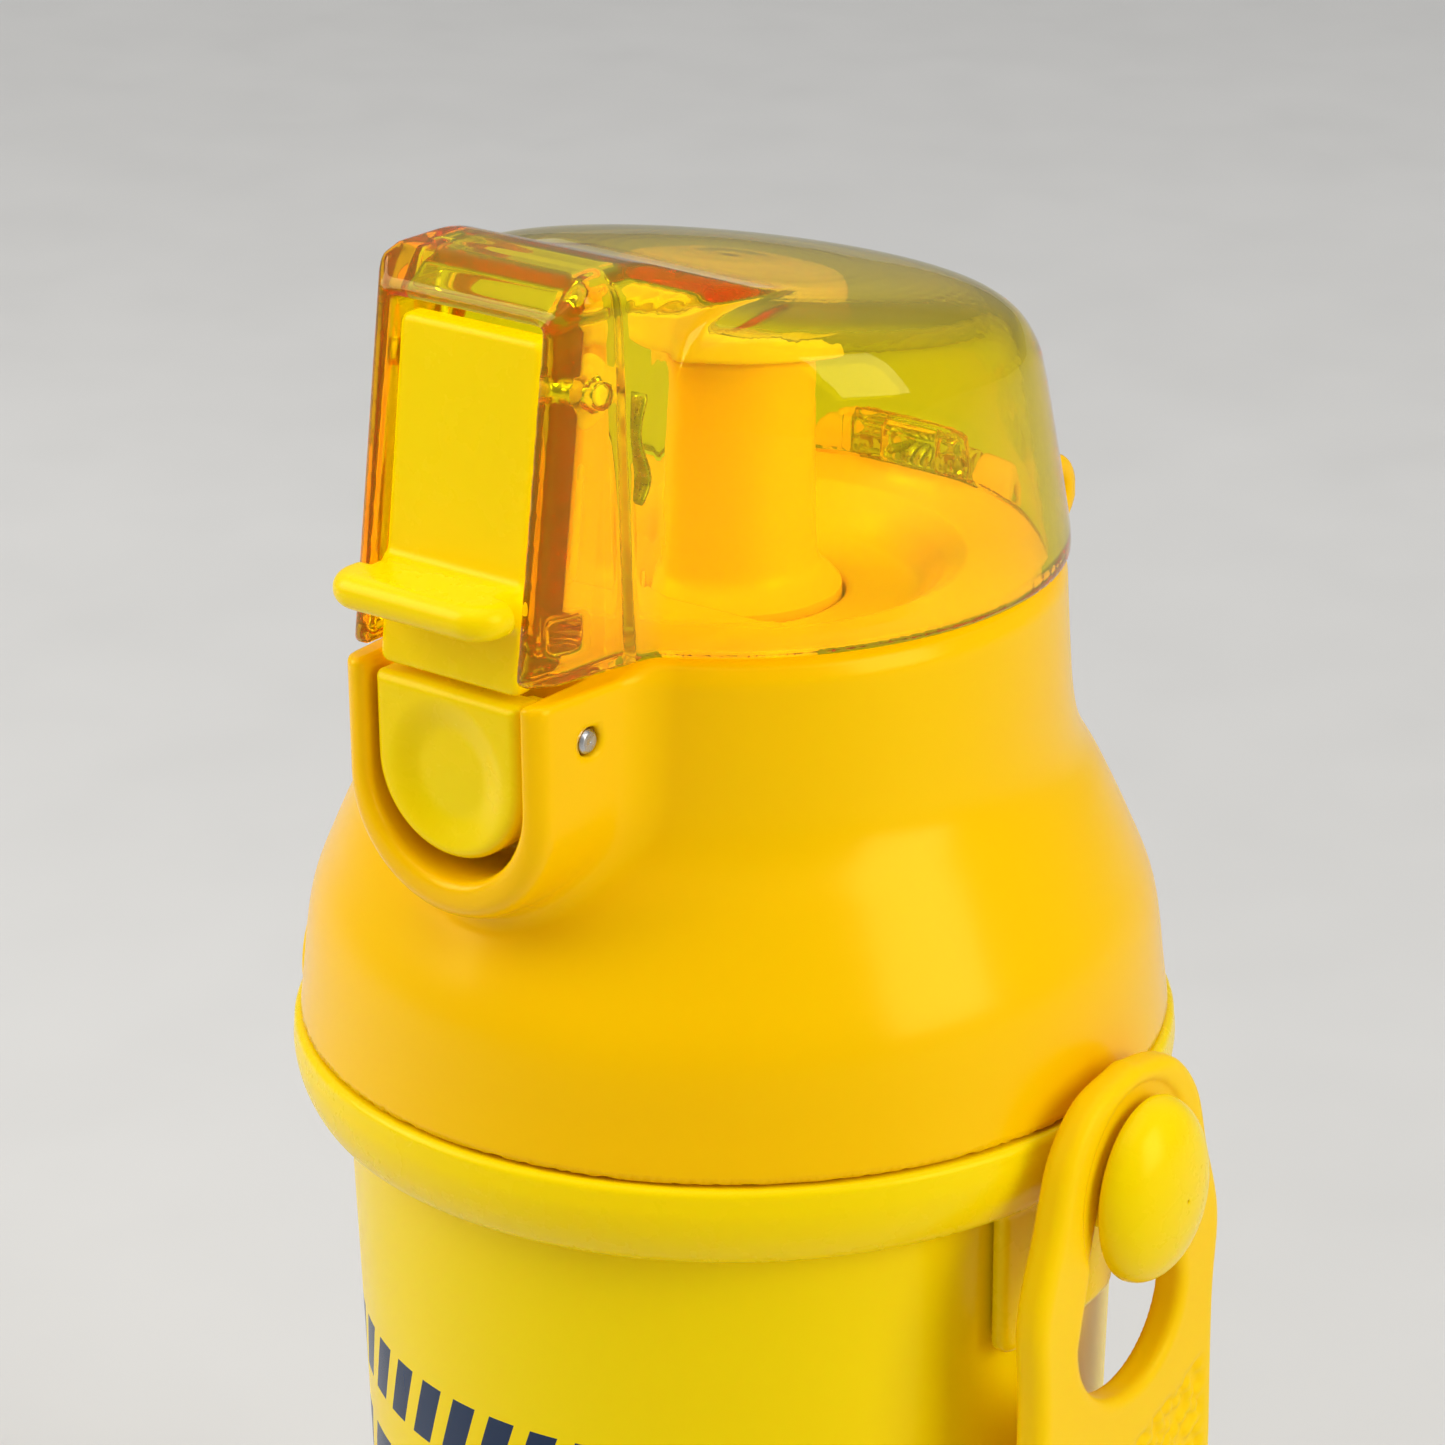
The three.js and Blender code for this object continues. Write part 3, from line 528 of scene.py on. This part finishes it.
def strap_stud(side, material):
    name = "right" if side > 0 else "left"
    node = f"strap_stud_{name}"
    a, b = low(node), high(node)
    half_y, half_z, rise = (b[1] - a[1]) / 2, (b[2] - a[2]) / 2, b[0] - a[0]
    share = [(0.02, 0), (0.95, 0), (0.99, 0.06), *[(math.cos(t) ** 0.9, 0.12 + 0.88 * math.sin(t))
                                                    for t in np.linspace(0, 1.52, 20)], (0.02, 1)]
    spots, quads = lathe(soften(share, 0.03), 72)
    base_x = a[0] if side > 0 else b[0]
    spots = np.stack([base_x + side * rise * spots[:, 2], side * half_y * spots[:, 0],
                      (a[2] + b[2]) / 2 + half_z * spots[:, 1]], 1)
    return add_piece(f"{node}_dome", spots, quads, "bottle", node, material)


def strap_end(side, material):
    """The soft end piece: a ring that widens into a pebbled tab with a webbing slot."""
    name = "right" if side > 0 else "left"
    node = f"strap_end_{name}"
    foot = STRAP_FOOT
    swing = LEFT_SWING if side < 0 else 0.0
    edge = flow([(0, 10.3), (5.6, 9), (9.2, 5.2), (11, -0.5), (13.1, -7.5), (12.7, -15.5), (13, -28.5)], 6)
    edge += arc(8, foot + 5, 5, 0, -90, 8)
    outline = Outline(edge + [(-u, v) for u, v in edge[:0:-1]])
    hole = Outline([*arc(0, 0, 4.7, 20, 160, 12), *arc(0, -11.5, 7.4, 180, 360, 24)])
    cells = np.random.default_rng(7)
    jitter = cells.uniform(-0.42, 0.42, (64, 64, 2))
    pebble, groove = 1.4, 0.4

    def pebbles(u, v):
        """How far a point of the face is from its nearest pebble's centre, in pebble sizes."""
        nearest = np.full(np.broadcast(u, v).shape, 9.0)
        i, j = np.floor(u / pebble).astype(int), np.floor(v / pebble).astype(int)
        for di in (-1, 0, 1):
            for dj in (-1, 0, 1):
                spot = jitter[(i + di) % 64, (j + dj) % 64]
                du = u / pebble - (i + di + 0.5 + spot[..., 0])
                dv = v / pebble - (j + dj + 0.5 + spot[..., 1])
                nearest = np.minimum(nearest, np.hypot(du, dv))
        return nearest

    def shape(x, y, h):
        rise, out = h - STUD_H, x * side
        across = side * (y * math.cos(swing) + rise * math.sin(swing))
        up = rise * math.cos(swing) - y * math.sin(swing)
        rim = outline(across, up)
        plate = both(rim, np.abs(out - 39) - 1.5, 1.1)
        plate = without(plate, hole(across, up), 0.9)
        dish = both(np.hypot(across / 7.4, up / 8.7) * 8 - 8, 40.2 - out)
        plate = without(plate, dish, 0.35)
        slot = both(np.abs(across) - 10.5, slab(up, foot + 5.2, foot + 11.6), 1.2)
        plate = without(plate, slot, 0.6)
        zone = ramp(-up - 24 + 0.4 * across, 0, 1) * ramp(up - foot - 13.5, 0, 1.2) * ramp(-rim, 1.6, 2.4)
        face = zone * (out > 39)
        if np.any(face):
            across, up = np.broadcast_arrays(across, up)
            plate = plate + groove * face * ramp(pebbles(across, up), 0.15, 0.62)
        return plate

    return carved(f"{node}_moulding", node, f"strap_{name}", material, shape, 0.34)


# ---- Cap ----------------------------------------------------------------------------------

CAP_EDGE = flow([(36.3, 0), (35.9, 3.2), (35, 9.8), (33, 15), (30.6, 20.1), (28.7, 23.6), (27.9, 27),
                 (27.5, 32), (27.2, 37.6)], 6)
CAP_WALL = 2.0
DECK = 39.2
DISH = 36.0
HINGE_Y, HINGE_H = 29.5, 38.2
EAR_R = 3.2
EAR_SPAN = (6.6, 11.9)
BUTTON_Y, BUTTON_H = -30.5, 34.3


def cap_shell(material):
    bell = Outline(soften([(-6, 0), *CAP_EDGE, (26.6, DECK), (19, DECK), (17.3, 38.2), (15.4, DISH),
                           (-6, DISH)], 1.2))
    room = Outline(soften([(-6, -6), (34.3, -6), *[(r - CAP_WALL, h) for r, h in CAP_EDGE[:-4]],
                           (25.2, DECK - CAP_WALL), (19.2, DECK - CAP_WALL), (17.2, DISH - 1.8),
                           (-6, DISH - 1.8)], 0.8))

    def shape(x, y, h):
        r = np.hypot(x, y)
        half = 10 + 0.0959 * (y + 34.6)
        housing = both(u_shape(x, h, half, 28.9), -36 - y, 1.5)
        housing = both(both(housing, h - 38.3, 0.5), y + 10)
        cap = either(bell(r, h), housing, 2.2)
        pocket = both(u_shape(x, h, 7.75, 29.85), y + 28.2, 0.8)
        cap = without(cap, pocket, 0.8)
        barrel = bar(y, h, HINGE_Y, HINGE_H, EAR_R)
        brace = np.maximum(((y - 27.5) * 11 - (h - 27.2) * 5.2) / 12.17, np.maximum(h - 37.2, 25 - y))
        span = slab(np.abs(x), *EAR_SPAN)
        cap = either(cap, both(either(barrel, brace, 0.8), span, 0.8), 1.0)
        cap = without(cap, both(bar(y, h, HINGE_Y, HINGE_H, EAR_R + 0.5), np.abs(x) - 6.6), 0.3)
        cap = without(cap, room(r, h))
        cap = without(cap, r - 9.3, 0.3)
        pins = np.minimum(bar(y, h, BUTTON_Y, BUTTON_H, 1.2), bar(y, h, HINGE_Y, HINGE_H, 1.4))
        return without(cap, pins, 0.3)

    return carved("cap_shell_bell", "cap_shell", "cap", material, shape, 0.44)


LINER_R = 28.5
PLATE = 14.0
CHIMNEY = DISH - 5.6
VENT_Y = 17.0


def cap_liner(material):
    profile = soften([
        (LINER_R, 0.4), (LINER_R + 1.6, 0.4), (LINER_R + 1.6, PLATE - 0.6), (LINER_R + 0.8, PLATE + 2),
        (7.4, PLATE + 2), (7.4, CHIMNEY - 2), (12, CHIMNEY - 1.6), (12, CHIMNEY), (5.2, CHIMNEY),
        (5.2, PLATE), (LINER_R, PLATE)], 0.35)
    shell = lathe([(r, h + SEAM) for r, h in profile], 144)
    spots, quads = merged(shell, ridge(LINER_R, -1, 4.1, -0.25, 1.0))
    return add_piece("cap_liner_thread", spots, quads, "cap", "cap_liner", material)


def seals(white):
    turned("cap_gasket_ring", "cap_gasket", "gasket", white,
           [(24.9, NECK_TOP + GAP), (28, NECK_TOP + GAP), (28, PLATE - GAP), (24.9, PLATE - GAP)])
    turned("spout_gasket_ring", "spout_gasket", "cap", white,
           [(5.4, CHIMNEY + GAP), (11.4, CHIMNEY + GAP), (11.4, CHIMNEY + 2 - GAP),
            (5.4, CHIMNEY + 2 - GAP)], 96)
    mushroom = [(0.02, -2.2), (1.2, -2.2), (2.5, -0.3), (1.8, -0.3), (1.8, 2.3), (4.2, 2.3), (3, 3.2),
                (0.02, 3.4)]
    turned("vent_valve_mushroom", "vent_valve", "cap", white,
           [(r, PLATE + h) for r, h in mushroom], 48, (0, VENT_Y), 0.2)


SPOUT_TOP = high("spout")[2] - SEAM
SPOUT_R = 6.8
SPOUT_BORE = 4.6


def spout(material):
    flange = CHIMNEY + 2
    under = DISH - 1.8 - GAP
    flare = flow([(8.95, DISH + 0.5), (8.4, DISH + 1.1), (7.2, DISH + 2.4), (6.85, DISH + 4.6)], 6)
    profile = [(SPOUT_BORE, flange), (12, flange), (12, under), (9, under), *flare,
               (SPOUT_R, SPOUT_TOP - 1.3), *arc(SPOUT_R - 1.1, SPOUT_TOP - 1.1, 1.1, 0, 90, 6),
               (SPOUT_BORE, SPOUT_TOP)]
    turned("spout_tube", "spout", "cap", material, profile, 128)


# ---- Lid ----------------------------------------------------------------------------------

LID = 39.6
LID_TOP = high("lid_shell")[2] - SEAM
LID_WALL = 2.0
TILT = 0.16
LEAN = 0.15
FRONT_Y = low("lid_shell")[1]
LOCK_Y, LOCK_H = -27.4, 60.5
WINDOW_HALF = 7.3
STOPPER_R = 9.1


def lid_shell(material):
    rise = flow([(27.35, 1.5), (26.2, 8.8), (25.1, 16), (24.3, 19.1), (22.5, 21.6), (19, 23.1),
                 (12, 23.75), (4, 23.95), (0, 24)], 6)
    dome = Outline([(-6, -8), (27.4, -8), (27.4, 0.6), *rise, (-6, 24)])

    def upright(y, h):
        """The height before the roof was tilted towards the front."""
        z = h - LID
        for _ in range(4):
            z = h - LID + TILT * y * ramp(z, 4, 24)
        return z

    def block(x, y, h, inset):
        """The front block, drawn in by inset on its sides, front and roof."""
        y0, side = y - LEAN * (h - LID), np.abs(x)
        wide = both(side - 12, ((side - 10) * 9.6 - (y0 + 34) * 2) / 9.806, 0.6)
        wide = both(wide, ((side - 8.6) * 1.6 - (y0 - FRONT_Y) * 1.4) / 2.126, 0.4)
        solid = both(wide + inset, (FRONT_Y - y0) * 0.989 + inset, 0.3)
        bevel = ((h - 67) * 2.8 - (y + 31.5) * 2.6) / 3.82
        roof = ((y + 22.3) * 3.9 + (h - 69.5) * 10.3) / 11.01
        over = both(both(h - LID_TOP, bevel, 0.3), roof, 0.8)
        over = both(over, ((side - 9) * 4.5 + (h - LID_TOP) * 4) / 6.02, 0.4)
        return both(both(solid, over + inset, 0.4), y + 6)

    def shape(x, y, h):
        r = np.hypot(x, y)
        round_part = dome(r, upright(y, h))
        outer = either(round_part, block(x, y, h, 0), 0.8)
        shell = both(outer, LID - h, 0.4)
        inner = either(round_part + LID_WALL, block(x, y, h, LID_WALL), 1.2)
        shell = without(shell, inner, 0.3)
        ears = both(bar(y, h, HINGE_Y, HINGE_H, EAR_R + 0.4), np.abs(x) - 12.2)
        shell = without(shell, ears, 0.3)
        cheeks = both(both(block(x, y, h, 0), y + 25, 0.4), LID - h, 0.4)
        shell = either(shell, cheeks)
        window = both(np.abs(x) - WINDOW_HALF, both(h - 66.2, y + 24), 0.4)
        shell = without(shell, window, 0.4)
        attic = both(block(x, y, h, LID_WALL), both(np.abs(x) - 6.9, 64.2 - h), 0.4)
        shell = without(shell, attic, 0.3)
        knuckle = np.minimum(bar(y, h, HINGE_Y, HINGE_H, EAR_R),
                             both(slab(y, 23.6, 27.6), slab(h, LID + 0.3, LID + 3.8), 0.6))
        knuckle = both(knuckle, np.abs(x) - 6.3, 0.4)
        shell = either(shell, knuckle, 0.4)
        spring_room = both(np.abs(x) - 3, both(h - LID - 3, HINGE_Y - 3.6 - y))
        shell = without(shell, spring_room, 0.3)
        catch = both(both(slab(y, -31.6, -28.8), slab(h, LID + 1.6, LID + 4), 0.5), np.abs(x) - 8.4)
        tongue = both(slab(y, -31.3, -30.1), slab(h, LID - 3.6, LID + 2), 0.3)
        hook = both(slab(y, -31.9, -30.4), slab(h, LID - 3.6, LID - 2.2), 0.5)
        catch = either(catch, both(either(tongue, hook, 0.3), np.abs(x) - 3.5, 0.3), 0.4)
        shell = either(shell, catch, 0.3)
        lock_hole = both(bar(y, h, LOCK_Y, LOCK_H, 1.1), np.abs(x) - 9.2)
        pins = np.minimum(bar(y, h, HINGE_Y, HINGE_H, 1.45), lock_hole)
        return without(shell, pins, 0.2)

    return carved("lid_shell_dome", "lid_shell", "lid", material, shape, 0.4)


def lid_stopper(material):
    """A thick soft disc over the spout, with a low plug below and a top that follows the roof."""
    seat = SPOUT_TOP + GAP
    ceiling = LID_TOP - 8.7
    plug_depth = 1.0

    def shape(x, y, h):
        r = np.hypot(x, y)
        disc = both(r - STOPPER_R, slab(h, seat, ceiling - TILT * y), 0.7)
        plug = both(r - SPOUT_BORE + plug_depth, slab(h, seat - plug_depth, seat + 1), 0.4)
        return either(disc, plug, 0.3)

    carved("lid_stopper_plug", "lid_stopper", "lid", material, shape, 0.3,
           [-STOPPER_R, -STOPPER_R, SEAM + seat - plug_depth], [STOPPER_R, STOPPER_R, SEAM + ceiling + 1.5])


# ---- Button, lock and hinge -----------------------------------------------------------------

PAD_Y = low("push_button")[1]
PAD_BACK = -32.4
PAD_TOP = 37.6
PAD_HALF = 7.2
PAD_ARC = 31.0


def push_button(material):
    def shape(x, y, h):
        dish = 0.75 * (1 - ramp(np.hypot(x / 5.9, (h - 30.6) / 6.4), 0.5, 1.0))
        pad = both(u_shape(x, h, PAD_HALF, PAD_ARC), h - PAD_TOP, 0.5)
        pad = both(pad, PAD_Y + dish - y, 0.9)
        pad = both(pad, y - PAD_BACK, 0.3)
        lug = np.minimum(bar(y, h, BUTTON_Y, BUTTON_H, 2.2),
                         both(slab(y, PAD_BACK - 0.6, BUTTON_Y), slab(h, BUTTON_H - 2.2, BUTTON_H + 2.2)))
        lug = both(lug, np.abs(np.abs(x) - 5.15) - 1.25, 0.3)
        pad = either(pad, lug, 0.5)
        seat = both(np.hypot(x, h - 28.2) - 2.6, -33.8 - y)
        pins = bar(y, h, BUTTON_Y, BUTTON_H, 1.25)
        return without(pad, np.minimum(seat, pins), 0.2)

    return carved("push_button_pad", "push_button", "button", material, shape, 0.22)


LEVER_TOP = high("lock_lever")[2] - SEAM
LEVER_FOOT = low("lock_lever")[2] - SEAM
LEVER_HALF = 7.0
LEVER_LEAN = 0.14
LEDGE_Y = low("lock_lever")[1]


def lock_lever(material):
    def shape(x, y, h):
        face = y + 34.8 - LEVER_LEAN * (h - LEVER_FOOT)
        side = np.abs(x)
        front = both(side - LEVER_HALF, slab(h, LEVER_FOOT, LEVER_TOP), 0.9)
        plate = both(front, slab(face, 0, 2) * 0.99, 0.6)
        width = np.where(y > -36.2, LEVER_HALF, 8.2)
        ledge = both(both(side - width, LEDGE_Y - y, 2.8), y + 33.6)
        ledge = both(ledge, slab(h, 43.8, 46.6), 1.35)
        ear = np.minimum(bar(y, h, LOCK_Y, LOCK_H, 3),
                         both(slab(h, LOCK_H - 3.4, LOCK_H + 3), both(1 - face, y - LOCK_Y)))
        ear = both(ear, slab(side, 5.2, 7), 0.3)
        rib = both(both(slab(h, 46, 55.5), slab(face, 1, 5), 0.8), slab(side, 5.6, 7), 0.3)
        lever = either(either(plate, ledge, 1.2), either(ear, rib, 0.5), 0.5)
        return without(lever, bar(y, h, LOCK_Y, LOCK_H, 1.25), 0.2)

    return carved("lock_lever_plate", "lock_lever", "lock", material, shape, 0.25)


def spring_wires(material):
    def helix(radius, length, turns, count=28):
        t = np.linspace(0, 1, round(turns * count) + 1)
        return np.stack([radius * np.cos(2 * np.pi * turns * t), radius * np.sin(2 * np.pi * turns * t),
                         length * t], 1)

    a, b = low("button_spring"), high("button_spring")
    run = helix(1.7, b[1] - a[1] - 0.6, 4.5)
    path = np.stack([run[:, 0], a[1] + 0.3 + run[:, 2], (a[2] + b[2]) / 2 + run[:, 1]], 1)
    wire("button_spring_coil", "button_spring", "cap", material, path, 0.26)
    run = helix(1.95, 4.6, 4.25)
    coil = np.stack([run[:, 2] - 2.3, HINGE_Y + run[:, 1], SEAM + HINGE_H + run[:, 0]], 1)
    leg_end = low("hinge_spring")[1] + 0.4
    leg = [coil[0] + [0, leg_end - HINGE_Y, 0.2] * np.array(share) for share in (1.0, 0.7, 0.4, 0.15)]
    wire("hinge_spring_coil", "hinge_spring", "lid", material, np.vstack([leg, coil]), 0.4)


def lock_spring(material):
    """A thin bent leaf with rounded edges."""
    line = flow([(-23.6, 51), (-22.7, 53), (-23.7, 56.5), (-22.8, 59.5)], 8)
    rings = []
    for i, (y, h) in enumerate(line):
        before, after = line[max(i - 1, 0)], line[min(i + 1, len(line) - 1)]
        way = np.array(after) - np.array(before)
        way /= np.linalg.norm(way)
        off = np.array([way[1], -way[0]]) * 0.2
        inset = 0.15 if i in (0, len(line) - 1) else 0.0
        section = [(7.6 + inset, -1), (9.1 - inset, -1), (9.2 - inset, 0), (9.1 - inset, 1),
                   (7.6 + inset, 1), (7.5 + inset, 0)]
        rings.append([(x, y + 0.25 + off[0] * s, SEAM + h + off[1] * s) for x, s in section])
    n = len(rings[0])
    quads = [[i * n + j, i * n + (j + 1) % n, (i + 1) * n + (j + 1) % n, (i + 1) * n + j]
             for i in range(len(rings) - 1) for j in range(n)]
    last = (len(rings) - 1) * n
    quads += [[3, 2, 1, 0], [5, 4, 3, 0], [last, last + 1, last + 2, last + 3],
              [last, last + 3, last + 4, last + 5]]
    return add_piece("lock_spring_leaf", np.vstack(rings), np.array(quads), "lid", "lock_spring", material)


# ---- Stage --------------------------------------------------------------------------------


def look(position, target, roll=0.0):
    """A camera or lamp placement that looks from position to target, in metres."""
    way = (Vector(target) - Vector(position)).normalized()
    turn = way.to_track_quat("-Z", "Y").to_matrix() @ Matrix.Rotation(roll, 3, "Z")
    return Matrix.Translation(position) @ turn.to_4x4()


def camera():
    data = bpy.data.cameras.new("camera")
    data.sensor_width = 36
    data.lens = 112.1
    data.clip_start = 0.01
    made = bpy.data.objects.new("camera", data)
    place = Vector((0.21152, -0.27074, 0.15938 + SEAM * MM))
    way = Vector((-0.5744, 0.7317, -0.367))
    made.matrix_world = look(place, place + way, -0.0075)
    bpy.context.scene.collection.objects.link(made)
    bpy.context.scene.camera = made


def lamp(name, place, target, size, power, color=(1, 1, 1)):
    data = bpy.data.lights.new(name, "AREA")
    data.shape = "RECTANGLE"
    data.size, data.size_y = size
    data.energy = power
    data.color = color
    made = bpy.data.objects.new(name, data)
    made.matrix_world = look(place, target)
    bpy.context.scene.collection.objects.link(made)


def sky():
    """Soft light from overhead, dimmer towards the horizon."""
    world = bpy.data.worlds.new("studio")
    world.use_nodes = True
    nodes, links = world.node_tree.nodes, world.node_tree.links
    light = nodes["Background"].inputs
    light["Color"].default_value = (0.93, 0.94, 0.95, 1)
    way = nodes.new("ShaderNodeTexCoord")
    part = nodes.new("ShaderNodeSeparateXYZ")
    overhead = nodes.new("ShaderNodeMapRange")
    for key, value in (("From Min", 0.35), ("From Max", 0.85), ("To Min", 0.24), ("To Max", 0.76)):
        overhead.inputs[key].default_value = value
    links.new(way.outputs["Generated"], part.inputs[0])
    links.new(part.outputs["Z"], overhead.inputs[0])
    links.new(overhead.outputs[0], light["Strength"])
    bpy.context.scene.world = world


def pale_floor(reach=4.0):
    m = Recipe("pale_floor", (0.63, 0.62, 0.60), 0.6)
    clouding = m.spread(m.noise(6, 4), 0, 1)
    m.join(m.mix(clouding, (0.61, 0.60, 0.58, 1), (0.65, 0.64, 0.62, 1)), "Base Color")
    m.join(m.spread(m.noise(40, 4), 0.5, 0.7), "Roughness")
    mesh = bpy.data.meshes.new("floor")
    corners = [(-reach, -reach, 0), (reach, -reach, 0), (reach, reach, 0), (-reach, reach, 0)]
    mesh.from_pydata(corners, [], [(0, 1, 2, 3)])
    mesh.materials.append(m.material)
    plane = bpy.data.objects.new("floor", mesh)
    bpy.context.scene.collection.objects.link(plane)


def studio():
    middle = (0, 0, 0.12)
    lamp("key", (-0.68, -0.52, 0.6), middle, (0.6, 0.6), 5.6, (1, 0.98, 0.95))
    lamp("fill", (1.6, 0.1, 0.85), middle, (0.9, 1.2), 18.0, (0.99, 0.99, 1))
    lamp("top", (0.0, -0.2, 1.1), middle, (0.9, 0.9), 2.8)
    sky()
    pale_floor()
    bpy.context.scene.view_settings.view_transform = "Standard"


def light_paths():
    """Enough bounces for light to find its way out of the thick clear lid."""
    cycles = bpy.context.scene.cycles
    cycles.max_bounces = 32
    cycles.glossy_bounces = 24
    cycles.transmission_bounces = 32
    cycles.transparent_max_bounces = 16


# ---- Making -------------------------------------------------------------------------------

camera()
studio()
light_paths()
lemon, golden, strap_gold = lemon_plastic(), golden_plastic(), strap_plastic()
white = silicone("white_silicone", (0.82, 0.80, 0.72), (0.76, 0.73, 0.62))
metal = steel()

bottle_body()
strap_ring(lemon)
for which in (1, -1):
    strap_stud(which, lemon)
    strap_end(which, strap_gold)
cap_shell(golden)
cap_liner(golden)
seals(white)
spout(golden)
push_button(lemon)
lid_shell(clear_plastic())
lid_stopper(silicone("lemon_silicone", (0.90, 0.68, 0.02), (0.86, 0.62, 0.01)))
lock_lever(lemon)
turned_x("button_pin_rod", "button_pin", "cap", metal, 1.0)
turned_x("hinge_pin_rod", "hinge_pin", "cap", metal, 1.2)
turned_x("lock_pin_rod", "lock_pin", "lid", lemon, 1.0)
spring_wires(metal)
lock_spring(metal)
